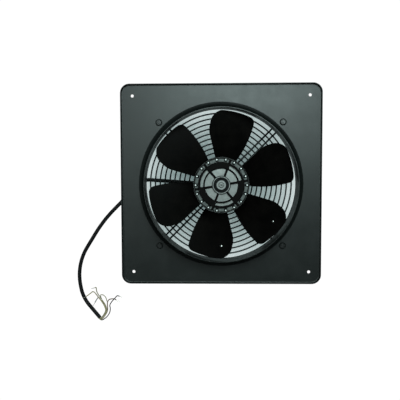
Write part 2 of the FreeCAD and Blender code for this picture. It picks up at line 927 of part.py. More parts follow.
def make_slot_insulators():
    """A moulded end cap on each face of the stack."""
    body = new_body("slot_insulators")
    for name, front, back in (
            ("front_cap", "size.stack_front - size.insulator_sheet", "size.stack_front"),
            ("rear_cap", "size.stack_back", "size.stack_back + size.insulator_sheet")):
        turned(body, name, ring_section(
            "size.insulator_inner", "size.stator_radius - size.insulator_inset", front, back))
    slot = bore(body, "slot", slot_outline(new_sketch(body, "slot_shape", "XZ_Plane")))
    around(body, "slots", [slot], "size.slot_count")


def make_stator_windings():
    """Copper end turns front and rear, joined by the coil sides in the slots."""
    body = new_body("stator_windings")
    front_cap = "size.stack_front - size.insulator_sheet"
    rear_cap = "size.stack_back + size.insulator_sheet"
    for name, front, back in (
            ("front_turns", front_cap + " - size.front_turns", front_cap),
            ("rear_turns", rear_cap, rear_cap + " + size.rear_turns")):
        turned(body, name, [
            ("size.winding_inner", front, "size.winding_round"),
            ("size.winding_outer", front, "size.winding_round"),
            ("size.winding_outer", back, "size.winding_round"),
            ("size.winding_inner", back, "size.winding_round"),
        ])
    sketch = new_sketch(
        body, "coil_side_outline", "XZ_Plane", "-(size.stack_front - size.coil_overlap)")
    half = "size.slot_width / 2 - size.coil_clearance"
    inner = "size.winding_inner + size.coil_inset"
    outer = "size.winding_outer - size.coil_inset"
    outline(sketch, [
        (inner, negative(half)),
        (outer, negative(half)),
        (outer, half),
        (inner, half),
    ])
    length = "size.stack_back - size.stack_front + 2 * size.coil_overlap"
    side = pad(body, "coil_side", sketch, length, back=True)
    around(body, "coil_sides", [side], "size.slot_count")


def make_thermal_protector():
    """The small overheat switch tied to the rear end turns."""
    body = new_body("thermal_protector")
    seat = "size.stack_back + size.insulator_sheet + size.rear_turns"
    sketch = new_sketch(body, "switch_outline", "XZ_Plane", negative(seat))
    half = "size.switch_width / 2"
    outline(sketch, [
        ("size.switch_inner", negative(half), "size.switch_round"),
        ("size.switch_outer", negative(half), "size.switch_round"),
        ("size.switch_outer", half, "size.switch_round"),
        ("size.switch_inner", half, "size.switch_round"),
    ])
    pad(body, "switch", sketch, "size.switch_thickness", back=True)


# ---------------------------------------------------------------- bearings
def make_bearing(prefix, centre):
    """A shielded deep-groove ball bearing as its five kinds of piece."""
    front = "%s - size.bearing_half" % centre
    back = "%s + size.bearing_half" % centre
    make_race(
        prefix + "_outer_race", centre, front, back, "size.outer_race_bore", "size.bearing_outer")
    make_race(
        prefix + "_inner_race", centre, front, back, "size.bearing_bore + size.press_fit",
        "size.inner_race_outer")
    make_balls(prefix + "_balls", centre)
    make_cage(prefix + "_cage", centre)
    shields = new_body(prefix + "_shields")
    for name, start in (
            ("front_shield", front + " + size.shield_sheet"),
            ("rear_shield", back + " - 2 * size.shield_sheet")):
        turned(shields, name, ring_section(
            "size.shield_inner", "size.shield_outer", start, start + " + size.shield_sheet"))


def make_race(name, centre, front, back, inner, outer):
    body = new_body(name)
    turned(body, "ring", ring_section(inner, outer, front, back))
    groove = body.newObject("PartDesign::SubtractiveTorus", "ball_groove")
    groove.setExpression("Radius1", "size.ball_circle")
    groove.setExpression("Radius2", "size.groove_radius")
    groove.Placement = Placement(ORIGIN, Rotation(Vector(1, 0, 0), 90))
    groove.setExpression("Placement.Base.y", centre)
    body.Tip = groove


def make_balls(name, centre):
    body = new_body(name)
    ball = body.newObject("PartDesign::AdditiveSphere", "ball")
    ball.setExpression("Radius", "size.ball_radius")
    ball.setExpression("Placement.Base.x", "size.ball_circle")
    ball.setExpression("Placement.Base.y", centre)
    around(body, "ball_set", [ball], BALL_COUNT)


def make_cage(name, centre):
    """The ring that spaces the balls, with a round pocket for each."""
    body = new_body(name)
    half = "size.cage_width / 2"
    turned(body, "ring", ring_section(
        "size.cage_inner", "size.cage_outer", centre + " - " + half, centre + " + " + half))
    drill = body.newObject("PartDesign::SubtractiveCylinder", "pocket")
    drill.setExpression("Radius", "size.ball_radius + size.cage_clearance")
    drill.setExpression("Height", "size.ball_radius * 2")
    drill.Placement = Placement(ORIGIN, Rotation(FAN_AXIS, 90))
    drill.setExpression("Placement.Base.x", "size.ball_circle - size.ball_radius")
    drill.setExpression("Placement.Base.y", centre)
    around(body, "pockets", [drill], BALL_COUNT)


# ---------------------------------------------------------------- shaft and what sits on it
def make_shaft():
    body = new_body("shaft")
    groove_front = "size.rear_bearing + size.bearing_half + size.circlip_groove_start"
    groove_back = groove_front + " + size.circlip_groove_width"
    groove_floor = "size.shaft_radius - size.circlip_groove_depth"
    turned(body, "bar", [
        ("0", "size.shaft_front + size.centre_mark_depth"),
        ("size.centre_mark_floor", "size.shaft_front + size.centre_mark_radius"),
        ("size.centre_mark_radius", "size.shaft_front"),
        ("size.shaft_radius - size.shaft_front_bevel", "size.shaft_front"),
        ("size.shaft_radius", "size.shaft_front + size.shaft_front_bevel"),
        ("size.shaft_radius", groove_front),
        (groove_floor, groove_front),
        (groove_floor, groove_back),
        ("size.shaft_radius", groove_back),
        ("size.shaft_radius", "size.shaft_back - size.shaft_back_bevel"),
        ("size.shaft_radius - size.shaft_back_bevel", "size.shaft_back"),
        ("0", "size.shaft_back"),
    ])


def make_shaft_spacer():
    body = new_body("shaft_spacer")
    turned(body, "sleeve", ring_section(
        "size.shaft_radius + size.press_fit", "size.spacer_outer", "size.bell_boss_back",
        "size.front_bearing - size.bearing_half"))


def make_shaft_circlip():
    """An open ring in the shaft's groove, behind the rear bearing."""
    body = new_body("shaft_circlip")
    groove = "size.rear_bearing + size.bearing_half + size.circlip_groove_start"
    front = groove + " + 2 * size.press_fit"
    turned(body, "ring", ring_section(
        "size.shaft_radius - size.circlip_groove_depth + 2 * size.press_fit",
        "size.circlip_outer", front, front + " + size.circlip_sheet"))
    sketch = new_sketch(body, "gap_outline", "XZ_Plane")
    half = "size.circlip_gap / 2"
    far = "size.circlip_outer + size.over_cut"
    outline(sketch, [("1", negative(half)), (far, negative(half)), (far, half), ("1", half)])
    bore(body, "gap", sketch)


def make_preload_spring():
    """The spring washer that loads the front bearing's outer race."""
    body = new_body("preload_spring")
    seat = "size.front_bearing + size.bearing_half"
    turned(body, "ring", ring_section(
        "size.spring_inner", "size.spring_outer",
        seat + " + size.spring_start", seat + " + size.spring_end"))


def make_bearing_cap():
    """The pressed cover that closes the bearing tube behind the shaft."""
    body = new_body("bearing_cap")
    rim = "size.bearing_outer - size.press_fit"
    turned(body, "cup", [
        ("0", "size.cap_floor"),
        ("size.cap_radius", "size.cap_floor"),
        ("size.cap_radius", "size.cap_front"),
        (rim, "size.cap_front"),
        (rim, "size.cap_back"),
        ("0", "size.cap_back"),
    ])


# ---------------------------------------------------------------- rotor
def rim_pad_spans():
    """Start and end of each rim pad in the first sixth of the rim, split where a spoke crosses."""
    sixth = 360.0 / BLADE_COUNT
    pitch = 360.0 / PIN_COUNT
    half = RIM_PAD_WIDTH / 2
    channel = SPOKE_CHANNEL_WIDTH / 2
    spoke = (90.0 - BLADE_TURN - SPOKE_FROM_BLADE) % sixth
    spans = []
    for index in range(PIN_COUNT // BLADE_COUNT):
        middle = pitch * (index + 0.5)
        start = middle - half
        end = middle + half
        if start < spoke < end:
            spans += [(start, spoke - channel), (spoke + channel, end)]
        else:
            spans.append((start, end))
    return spans


def make_rotor_bell():
    """The cast aluminium end of the rotor: outer wall, cage bars, balance pins and rim pads."""
    body = new_body("rotor_bell")
    floor = "size.bell_face + size.recess_depth"
    rise = "size.bell_face - size.bell_rise"
    lip = "size.bell_face - size.lip_rise"
    turned(body, "casting", [
        ("size.shaft_radius", rise),
        ("size.bell_rise_radius", rise),
        ("size.bell_rise_radius", floor),
        ("size.recess_radius", floor),
        ("size.recess_radius", lip),
        ("size.lip_radius", lip),
        ("size.lip_radius", "size.bell_face"),
        ("size.bell_outer", "size.bell_face"),
        ("size.bell_outer", "size.can_end"),
        ("size.rotor_bore", "size.can_end"),
        ("size.rotor_bore", "size.stack_back"),
        ("size.lamination_outer", "size.stack_back"),
        ("size.lamination_outer", "size.stack_front"),
        ("size.rotor_bore", "size.stack_front"),
        ("size.rotor_bore", "size.bell_back"),
        ("size.bell_boss_root", "size.bell_back"),
        ("size.bell_boss_end", "size.bell_boss_back"),
        ("size.shaft_radius", "size.bell_boss_back"),
    ])
    pin_sketch = circle(
        new_sketch(body, "pin_outline", "XZ_Plane", "-size.bell_face"),
        "size.pin_circle", "0", "size.pin_radius")
    pin = pad(body, "balance_pin", pin_sketch, "size.pin_length")
    around(body, "balance_pins", [pin], PIN_COUNT)
    pad_sketch = new_sketch(body, "rim_pad_outline", "XZ_Plane", "-size.bell_face")
    for start, end in rim_pad_spans():
        annular_sector(pad_sketch, "size.rim_pad_inner", "size.rim_pad_outer", start, end)
    rim_pad = pad(body, "rim_pad", pad_sketch, "size.rim_pad_rise")
    around(body, "rim_pads", [rim_pad], BLADE_COUNT)
    bar_sketch = circle(
        new_sketch(body, "bar_outline", "XZ_Plane", "-(size.stack_front - size.over_cut)"),
        "size.bar_circle", "0", "size.bar_radius")
    length = "size.stack_back - size.stack_front + 2 * size.over_cut"
    bar = pad(body, "cage_bar", bar_sketch, length, back=True)
    around(body, "cage_bars", [bar], BAR_COUNT)


def make_rotor_laminations():
    body = new_body("rotor_laminations")
    turned(body, "stack", ring_section(
        "size.rotor_bore", "size.lamination_outer - size.press_fit",
        "size.stack_front + size.press_fit", "size.stack_back - size.press_fit"))
    sketch = circle(
        new_sketch(body, "bar_hole_outline", "XZ_Plane"), "size.bar_circle", "0",
        "size.bar_radius + size.press_fit")
    around(body, "bar_holes", [bore(body, "bar_hole", sketch)], BAR_COUNT)


def annular_sector(sketch, inner, outer, start, end):
    """A piece of a ring between two radii and two angles, in degrees from the sketch's X axis."""
    first = sketch.GeometryCount
    low = math.radians(start)
    high = math.radians(end)
    for radius in (inner, outer):
        ring = Part.Circle(ORIGIN, Vector(0, 0, 1), value(radius))
        sketch.addGeometry(Part.ArcOfCircle(ring, low, high), False)
    for angle in (low, high):
        ray = Vector(math.cos(angle), math.sin(angle), 0)
        sketch.addGeometry(Part.LineSegment(ray * value(inner), ray * value(outer)), False)
    for index, radius in enumerate((inner, outer)):
        sketch.addConstraint(Sketcher.Constraint("Coincident", first + index, 3, -1, 1))
        rule = sketch.addConstraint(Sketcher.Constraint("Radius", first + index, value(radius)))
        sketch.setExpression("Constraints[%d]" % rule, radius)
    for index, angle in enumerate((low, high)):
        side = first + 2 + index
        sketch.addConstraint(Sketcher.Constraint("Coincident", side, 1, first, index + 1))
        sketch.addConstraint(Sketcher.Constraint("Coincident", side, 2, first + 1, index + 1))
        sketch.addConstraint(Sketcher.Constraint("PointOnObject", -1, 1, side))
        sketch.addConstraint(Sketcher.Constraint("Angle", side, angle))
    return sketch


def make_hub():
    """The moulded hub: a sleeve over the bell and a six-spoked face with windows."""
    body = document.addObject("PartDesign::Body", "hub")
    body.AllowCompound = True
    back = "size.bell_face"
    turned(body, "centre_ring", ring_section(
        "size.centre_ring_inner", "size.centre_ring_outer",
        "size.hub_face + size.centre_ring_drop", back))
    crown = "size.hub_face - size.ring_rise"
    turned(body, "middle_ring", [
        ("size.middle_ring_inner", "size.hub_face"),
        ("size.middle_ring_inner + size.ring_bevel", crown),
        ("size.middle_ring_outer - size.ring_bevel", crown),
        ("size.middle_ring_outer", "size.hub_face"),
        ("size.middle_ring_outer", back),
        ("size.middle_ring_inner", back),
    ])
    turned(body, "sleeve", [
        ("size.hub_inner", "size.hub_face"),
        ("size.hub_outer", "size.hub_face", "size.hub_round"),
        ("size.hub_outer", "size.hub_end"),
        ("size.hub_inner", "size.hub_end"),
    ])
    sketch = new_sketch(body, "spoke_outline", "XZ_Plane", negative(back))
    half = "size.spoke_width / 2"
    far = "size.hub_inner + size.spoke_overlap"
    outline(sketch, [
        (negative(half), "size.spoke_start"),
        (half, "size.spoke_start"),
        (half, far),
        (negative(half), far),
    ])
    spoke = pad(body, "spoke", sketch, "size.bell_face - size.hub_face")
    around(body, "spokes", [spoke], BLADE_COUNT)
    window_sketch = annular_sector(
        new_sketch(body, "window_outline", "XZ_Plane"), "size.window_inner",
        "size.window_outer", WINDOW_START, WINDOW_END)
    window = bore(body, "window", window_sketch)
    around(body, "windows", [window], WINDOW_COUNT)
    return body


def blade_depth(radius, degrees):
    """How far along the fan's axis the blade's middle surface is, at a radius and an angle."""
    share = degrees / CAMBER_ANGLE
    lead = size("blade_lead") * math.radians(degrees)
    camber = size("blade_camber") * (radius / size("blade_tip")) * (1 - share * share)
    return size("blade_middle") + lead + camber


def blade_point(radius, degrees):
    return polar(radius, degrees, blade_depth(radius, degrees))


def blade_shape():
    """A twisted plate, cut to the blade's outline."""
    grid = [[blade_point(radius, angle) for angle in SURFACE_ANGLES] for radius in SURFACE_RADII]
    surface = Part.BSplineSurface()
    surface.interpolate(grid)
    thickness = size("blade_sheet")
    plate = surface.toShape().makeOffsetShape(thickness, OFFSET_TOLERANCE, fill=True)
    plate.translate(Vector(0, -thickness / 2, 0))
    tip = size("blade_tip")
    depth = STENCIL_FRONT
    edge = [
        Part.LineSegment(
            polar(ROOT_RADIUS, ROOT_TRAILING_ANGLE, depth), polar(*TRAILING_BEND_START, depth)),
        Part.Arc(
            polar(*TRAILING_BEND_START, depth), polar(*TRAILING_BEND, depth),
            polar(*TRAILING_EDGE_TOP, depth)),
        Part.Arc(
            polar(*TRAILING_EDGE_TOP, depth), polar(*TRAILING_ROUND, depth),
            polar(tip, TRAILING_TIP_ANGLE, depth)),
        Part.Arc(
            polar(tip, TRAILING_TIP_ANGLE, depth), polar(tip, 0, depth),
            polar(tip, LEADING_TIP_ANGLE, depth)),
        Part.Arc(
            polar(tip, LEADING_TIP_ANGLE, depth), polar(*LEADING_ROUND, depth),
            polar(*LEADING_EDGE_TOP, depth)),
        Part.Arc(
            polar(*LEADING_EDGE_TOP, depth), polar(*LEADING_MIDDLE, depth),
            polar(ROOT_RADIUS, ROOT_LEADING_ANGLE, depth)),
        Part.Arc(
            polar(ROOT_RADIUS, ROOT_LEADING_ANGLE, depth), polar(ROOT_RADIUS, 0, depth),
            polar(ROOT_RADIUS, ROOT_TRAILING_ANGLE, depth)),
    ]
    wire = Part.Wire([curve.toShape() for curve in edge])
    stencil = Part.Face(wire).extrude(Vector(0, STENCIL_LENGTH, 0))
    return plate.common(stencil)


def balance_rivet(radius, degrees):
    """A rivet that stands square to the blade, and the hole that takes it."""
    step = 0.5
    middle = blade_point(radius, degrees)
    along = blade_point(radius + step, degrees) - middle
    across = blade_point(radius, degrees + step) - middle
    normal = along.cross(across).normalize()
    if normal.y > 0:
        normal = normal * -1
    half = size("blade_sheet") / 2 + RIVET_PROUD
    front = middle + normal * half
    back = middle - normal * half
    crown = RIVET_HEAD * RIVET_TAPER
    shank = Part.makeCylinder(RIVET_SHANK, 2 * half, back, normal)
    head = Part.makeCone(RIVET_HEAD, crown, RIVET_HEAD_HEIGHT, front, normal)
    tail = Part.makeCone(RIVET_HEAD, crown, RIVET_HEAD_HEIGHT, back, normal * -1)
    hole_start = middle - normal * (RIVET_HOLE_LENGTH / 2)
    hole = Part.makeCylinder(
        RIVET_SHANK + RIVET_CLEARANCE, RIVET_HOLE_LENGTH, hole_start, normal)
    return shank.fuse([head, tail]).removeSplitter(), hole


def make_impeller():
    """Hub and six blades, moulded in one, and the balance rivets in two of the blades."""
    hub = make_hub()
    document.recompute()
    hub_shape = turned_about_axis(hub.Shape, SPOKE_FROM_BLADE)
    blade = blade_shape()
    step = 360.0 / BLADE_COUNT
    blades = [turned_about_axis(blade, step * index) for index in range(BLADE_COUNT)]
    impeller = hub_shape.fuse(blades).removeSplitter()
    rivets = []
    for number, radius, degrees in BALANCE_PLACES:
        rivet, hole = balance_rivet(radius, degrees)
        rivets.append(turned_about_axis(rivet, step * number))
        impeller = impeller.cut(turned_about_axis(hole, step * number))
    new_shape("impeller", impeller, BLADE_TURN)
    new_shape("balance_rivets", Part.makeCompound(rivets), BLADE_TURN)


# ---------------------------------------------------------------- cable
def make_cable_grommet():
    body = new_body("cable_grommet")
    bore_radius = "size.cable_radius + size.hole_clearance"
    neck = "size.grommet_hole - 2 * size.press_fit"
    web_front = "size.flange_web - 2 * size.press_fit"
    web_back = "size.support_front + 2 * size.press_fit"
    turned(body, "bush", [
        (bore_radius, web_front + " - size.grommet_lip_sheet"),
        ("size.grommet_lip", web_front + " - size.grommet_lip_sheet"),
        ("size.grommet_lip", web_front),
        (neck, web_front),
        (neck, web_back),
        ("size.grommet_lip", web_back),
        ("size.grommet_nose", web_back + " + size.grommet_nose_length"),
        (bore_radius, web_back + " + size.grommet_nose_length"),
    ], centre="-size.cable_exit")


def soft_bends(points):
    """The bend radius at each inner corner that uses up most of the shorter run beside it."""
    radii = []
    for index in range(1, len(points) - 1):
        before = points[index - 1] - points[index]
        after = points[index + 1] - points[index]
        half = before.getAngle(after) / 2
        radii.append(SOFT_SHARE * min(before.Length, after.Length) * math.tan(half))
    return radii


def cable_end():
    """The middle of the sheath's open end, and the direction the cable points there."""
    last = Vector(*CABLE_ROUTE[-1])
    return last, (last - Vector(*CABLE_ROUTE[-2])).normalize()


def make_cable_sheath():
    """The round black sheath, hollow at its open end where the cores come out."""
    corners = [Vector(*corner) for corner in CABLE_ROUTE]
    solid = rod(rounded_path(corners, CABLE_BENDS), size("cable_radius"))
    end, direction = cable_end()
    mouth = Part.makeCylinder(
        size("cable_radius") - MOUTH_WALL, MOUTH_DEPTH + MOUTH_OVER_CUT,
        end - direction * MOUTH_DEPTH, direction)
    new_shape("cable_sheath", solid.cut(mouth))


def make_cores():
    """Six insulated cores that fan out of the sheath, each with a stripped end."""
    end, direction = cable_end()
    side = direction.cross(FAN_AXIS).normalize()
    bare = []
    for name, route in CORE_ROUTES.items():
        angle = math.radians(CORE_ANGLES[name])
        spread = (side * math.cos(angle) + FAN_AXIS * math.sin(angle)) * CORE_CIRCLE
        points = [end + spread - direction * CORE_START]
        points += [Vector(*point) for point in route]
        new_shape(name, rod(rounded_path(points, soft_bends(points)), size("core_radius")))
        heading = (points[-1] - points[-2]).normalize()
        bare.append(Part.makeCylinder(size("strand_radius"), BARE_LENGTH, points[-1], heading))
    new_shape("bare_core_ends", Part.makeCompound(bare))


# ---------------------------------------------------------------- assembly and export
def make_everything():
    make_wall_plate()
    make_guard_nuts()
    make_guard_washers()
    make_guard_screws()
    make_guard_rings()
    make_guard_struts()
    make_motor_support_ring()
    make_motor_washers()
    make_motor_screws()
    make_stator_flange()
    make_stator_core()
    make_slot_insulators()
    make_stator_windings()
    make_thermal_protector()
    make_bearing("front_bearing", "size.front_bearing")
    make_bearing("rear_bearing", "size.rear_bearing")
    make_shaft()
    make_shaft_spacer()
    make_shaft_circlip()
    make_preload_spring()
    make_bearing_cap()
    make_rotor_bell()
    make_rotor_laminations()
    make_impeller()
    make_cable_grommet()
    make_cable_sheath()
    make_cores()
    document.recompute()


def check_document():
    """Stop if a feature failed or a kept shape is empty or broken."""
    for item in document.Objects:
        if "Invalid" in item.State or "Error" in item.State:
            raise RuntimeError("%s failed: %s" % (item.Name, item.State))
    for item in kept:
        if item.Shape.isNull() or not item.Shape.isValid() or not item.Shape.Solids:
            raise RuntimeError("%s has no sound solid" % item.Label)


def export_parts():
    os.makedirs("parts", exist_ok=True)
    for item in kept:
        item.Shape.exportStep(os.path.join("parts", item.Label + ".step"))


make_everything()
check_document()
export_parts()
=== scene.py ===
import json
import math

import bmesh
import bpy
from mathutils import Matrix, Vector


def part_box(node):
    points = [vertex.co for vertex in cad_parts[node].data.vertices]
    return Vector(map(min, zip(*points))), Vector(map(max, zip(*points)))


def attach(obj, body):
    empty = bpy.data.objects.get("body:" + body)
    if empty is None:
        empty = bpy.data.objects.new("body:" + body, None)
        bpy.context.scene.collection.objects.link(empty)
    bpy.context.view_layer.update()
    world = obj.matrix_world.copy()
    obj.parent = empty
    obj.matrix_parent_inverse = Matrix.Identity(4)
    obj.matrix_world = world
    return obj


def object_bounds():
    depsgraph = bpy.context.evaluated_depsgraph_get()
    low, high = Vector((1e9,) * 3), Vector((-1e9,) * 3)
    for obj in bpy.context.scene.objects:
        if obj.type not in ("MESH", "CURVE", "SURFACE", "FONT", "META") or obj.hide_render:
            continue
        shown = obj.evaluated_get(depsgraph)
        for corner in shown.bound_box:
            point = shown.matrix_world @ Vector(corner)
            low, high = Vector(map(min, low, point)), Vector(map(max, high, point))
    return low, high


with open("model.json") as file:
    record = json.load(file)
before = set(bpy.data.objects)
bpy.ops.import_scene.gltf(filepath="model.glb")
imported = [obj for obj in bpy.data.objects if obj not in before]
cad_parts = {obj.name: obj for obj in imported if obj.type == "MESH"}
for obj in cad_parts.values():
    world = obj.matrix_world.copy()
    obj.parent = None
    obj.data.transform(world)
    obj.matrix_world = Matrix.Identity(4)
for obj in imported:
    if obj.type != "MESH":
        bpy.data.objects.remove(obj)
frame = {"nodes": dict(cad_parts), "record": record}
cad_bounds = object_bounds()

NODES = frame["nodes"]

# ---------------------------------------------------------------- camera and light values
# Angles in degrees, lengths in metres.
CAMERA_AZIMUTH = 1.48
CAMERA_ELEVATION = 3.16
CAMERA_ROLL = -0.16
CAMERA_DISTANCE = 1.1036
CAMERA_AIM = Vector((-0.0451, 0.0, -0.0337))
SENSOR_WIDTH = 36.0
CAMERA_LENS = 45.9

KEY_PLACE = (0.22, -2.35, 0.95)
KEY_SIZE = (1.0, 1.15)
KEY_POWER = 56
KEY_COLOUR = (0.80, 1.0, 0.985)
FILL_PLACE = (-1.2, -2.0, 0.2)
FILL_SIZE = (0.8, 0.8)
FILL_POWER = 7
FILL_COLOUR = (0.86, 1.0, 0.97)

# The room the object sees: its strength in front and behind, and the directions between which
# one turns into the other.
ROOM_IN_FRONT = 0.02
ROOM_BEHIND = 0.30
ROOM_TURN = (-0.2, 0.4)
ROOM_TINT = (0.80, 1.0, 0.99)

WALL_GAP = 0.012
FLOOR_LEVEL = -0.52
STAGE_REACH = 4.0

# Where the bell's face changes finish and where its painted shade and painted highlights begin, in
# metres from the axis or along it.
RIM_TONE_AND_PAINTED_LIGHT_START = 0.0476
RIM_PAD_TOP = -0.0597
PIN_TOP = -0.0613
RECESS_START = 0.0096
RECESS_END = 0.0160
TONE_AND_PAINTED_LIGHT_FADE = 0.0003
TURNING_PITCH = 0.0009

# The two moulded beads, coloured far lighter than the hub as a painted highlight: how far each lies
# outside the bell, and its thickness.
HUB_RING_RISE = 0.0012
HUB_BEAD_RADIUS = 0.00022
HUB_BEADS = (("hub_rim_bead_inner", 0.0013), ("hub_rim_bead_outer", 0.0026))
BEAD_SIDES = 144
BEAD_ACROSS = 8

# Where the nozzle band's paint shine is lowered as painted shade, in metres from the axis or along
# it.
COLLAR_INNER = 0.1585
COLLAR_RIM = -0.0590
NOZZLE_EDGE = 0.1776
NOZZLE_FADE = 0.0012
NOZZLE_SHADE_GLOSS = 0.04

# The backdrop glows less where the object covers it.
BACKDROP_REACH = 0.25
BACKDROP_OPENNESS = (0.0, 0.44)
BACKDROP_GLOW = (0.06, 1.04)


# ---------------------------------------------------------------- material building
class Recipe:
    """A node material in the making: adds nodes, sets their inputs and links them."""

    def __init__(self, name):
        self.material = bpy.data.materials.new(name)
        self.material.use_nodes = True
        self.tree = self.material.node_tree
        self.tree.nodes.clear()
        self.output = self.tree.nodes.new("ShaderNodeOutputMaterial")
        self.shader = self.add("ShaderNodeBsdfPrincipled")
        self.join(self.shader.outputs[0], self.output.inputs["Surface"])
        self.place = self.add("ShaderNodeTexCoord").outputs["Object"]

    def add(self, kind, settings=None, **inputs):
        node = self.tree.nodes.new(kind)
        for name, setting in (settings or {}).items():
            setattr(node, name, setting)
        for name, given in inputs.items():
            self.feed(node.inputs[name.replace("_", " ")], given)
        return node

    def feed(self, socket, given):
        if isinstance(given, bpy.types.NodeSocket):
            self.join(given, socket)
        else:
            socket.default_value = given

    def join(self, source, target):
        self.tree.links.new(source, target)

    def math(self, operation, first, second=0.0, third=0.0):
        node = self.tree.nodes.new("ShaderNodeMath")
        node.operation = operation
        for socket, given in zip(node.inputs, (first, second, third)):
            self.feed(socket, given)
        return node.outputs[0]

    def noise(self, scale, detail=4.0, roughness=0.55, place=None):
        node = self.add(
            "ShaderNodeTexNoise", Vector=place or self.place, Scale=scale, Detail=detail,
            Roughness=roughness)
        return node.outputs["Fac"]

    def spread(self, value, low, high, out_low=0.0, out_high=1.0):
        """Stretch a value from one range to another, clamped."""
        node = self.add("ShaderNodeMapRange", Value=value)
        for name, number in (
                ("From Min", low), ("From Max", high), ("To Min", out_low), ("To Max", out_high)):
            node.inputs[name].default_value = number
        return node.outputs["Result"]

    def blend(self, share, first, second):
        node = self.add("ShaderNodeMix", {"data_type": "RGBA"})
        self.feed(node.inputs[0], share)
        self.feed(node.inputs[6], first)
        self.feed(node.inputs[7], second)
        return node.outputs[2]

    def bump(self, height, strength, distance, under=None):
        node = self.add("ShaderNodeBump", Height=height, Strength=strength, Distance=distance)
        if under is not None:
            self.join(under, node.inputs["Normal"])
        return node.outputs["Normal"]

    def edge_mask(self, radius, low, high):
        """Near one on sharp outer edges, zero on flats."""
        bevel = self.add("ShaderNodeBevel", {"samples": 4}, Radius=radius)
        plain = self.add("ShaderNodeNewGeometry").outputs["Normal"]
        product = self.add("ShaderNodeVectorMath", {"operation": "DOT_PRODUCT"})
        self.join(bevel.outputs[0], product.inputs[0])
        self.join(plain, product.inputs[1])
        turn = self.math("SUBTRACT", 1.0, product.outputs["Value"])
        return self.spread(turn, low, high)

    def axis_distance(self):
        """Distance from the fan's axis, for turned marks."""
        split = self.add("ShaderNodeSeparateXYZ", Vector=self.place)
        across = self.math("MULTIPLY", split.outputs[0], split.outputs[0])
        up = self.math("MULTIPLY", split.outputs[2], split.outputs[2])
        return self.math("SQRT", self.math("ADD", across, up))

    def set(self, **inputs):
        for name, given in inputs.items():
            self.feed(self.shader.inputs[name.replace("_", " ")], given)
        return self


def rgb(red, green, blue):
    return (red, green, blue, 1.0)


def painted_steel(name, low, high, rough_low, rough_high, wear, gloss, shade_nozzle=False):
    """Baked satin paint: faint cloudiness, orange peel, and grey metal at worn edges."""
    recipe = Recipe(name)
    cloud = recipe.noise(9.0, 5.0)
    grain = recipe.noise(420.0, 3.0)
    colour = recipe.blend(recipe.spread(cloud, 0.35, 0.65), rgb(*low), rgb(*high))
    edges = recipe.math(
        "MULTIPLY", recipe.edge_mask(0.0008, 0.06, 0.35), recipe.spread(grain, 0.45, 0.62))
    worn = recipe.math("MULTIPLY", edges, wear)
    colour = recipe.blend(worn, colour, rgb(0.20, 0.21, 0.21))
    smudge = recipe.spread(recipe.noise(26.0, 6.0, 0.7), 0.3, 0.75, rough_low, rough_high)
    peel = recipe.bump(recipe.noise(950.0, 2.0), 0.10, 0.0002)
    sheet_wave = recipe.bump(recipe.noise(11.0, 1.0), 0.25, 0.0012, peel)
    # The nozzle band's shine is lowered here as painted shade.
    if shade_nozzle:
        gloss = nozzle_painted_shade(recipe, gloss)
    recipe.set(Base_Color=colour, Roughness=smudge, Normal=sheet_wave, Specular_IOR_Level=gloss)
    return recipe.material


def nozzle_painted_shade(recipe, gloss):
    """Painted shade: the paint's shine lowered on the nozzle band between the flat and the collar's
    rim.
    """
    radius = recipe.axis_distance()
    depth = recipe.add("ShaderNodeSeparateXYZ", Vector=recipe.place).outputs[1]
    outside = recipe.spread(radius, COLLAR_INNER, COLLAR_INNER + NOZZLE_FADE)
    inside = recipe.spread(radius, NOZZLE_EDGE - NOZZLE_FADE, NOZZLE_EDGE, 1.0, 0.0)
    behind_rim = recipe.spread(depth, cad_bounds[0].y, COLLAR_RIM, 0.0, 1.0)
    dull = recipe.math("MULTIPLY", recipe.math("MULTIPLY", outside, inside), behind_rim)
    return recipe.spread(dull, 0.0, 1.0, gloss, NOZZLE_SHADE_GLOSS)


def moulded_plastic(name, low, high, rough_low, rough_high, gloss=0.45, dust_share=0.10):
    """Dull moulded plastic with fine grain and a little dust."""
    recipe = Recipe(name)
    cloud = recipe.noise(38.0, 5.0)
    dust = recipe.spread(recipe.noise(160.0, 6.0, 0.75), 0.52, 0.8)
    colour = recipe.blend(recipe.spread(cloud, 0.35, 0.65), rgb(*low), rgb(*high))
    dusty = recipe.math("MULTIPLY", dust, dust_share)
    colour = recipe.blend(dusty, colour, rgb(0.16, 0.14, 0.12))
    rough = recipe.spread(cloud, 0.3, 0.7, rough_low, rough_high)
    normal = recipe.bump(recipe.noise(1400.0, 2.0), 0.12, 0.0002)
    recipe.set(Base_Color=colour, Roughness=rough, Normal=normal, Specular_IOR_Level=gloss)
    return recipe.material


def bare_metal(name, low, high, rough_low, rough_high, ring_pitch=None, ring_depth=0.15):
    """Bare or plated metal; ring_pitch adds turning marks round the fan's axis."""
    recipe = Recipe(name)
    cloud = recipe.noise(55.0, 5.0)
    spots = recipe.spread(recipe.noise(300.0, 5.0, 0.7), 0.35, 0.75, rough_low, rough_high)
    colour = recipe.blend(recipe.spread(cloud, 0.3, 0.7), rgb(*low), rgb(*high))
    normal = recipe.bump(recipe.noise(900.0, 3.0), 0.18, 0.0002)
    if ring_pitch:
        phase = recipe.math("MULTIPLY", recipe.axis_distance(), math.tau / ring_pitch)
        wobble = recipe.math("MULTIPLY", recipe.noise(120.0, 2.0), 2.0)
        rings = recipe.math("SINE", recipe.math("ADD", phase, wobble))
        normal = recipe.bump(rings, ring_depth, 0.0001, normal)
    recipe.set(Base_Color=colour, Roughness=spots, Normal=normal, Metallic=1.0)
    return recipe.material


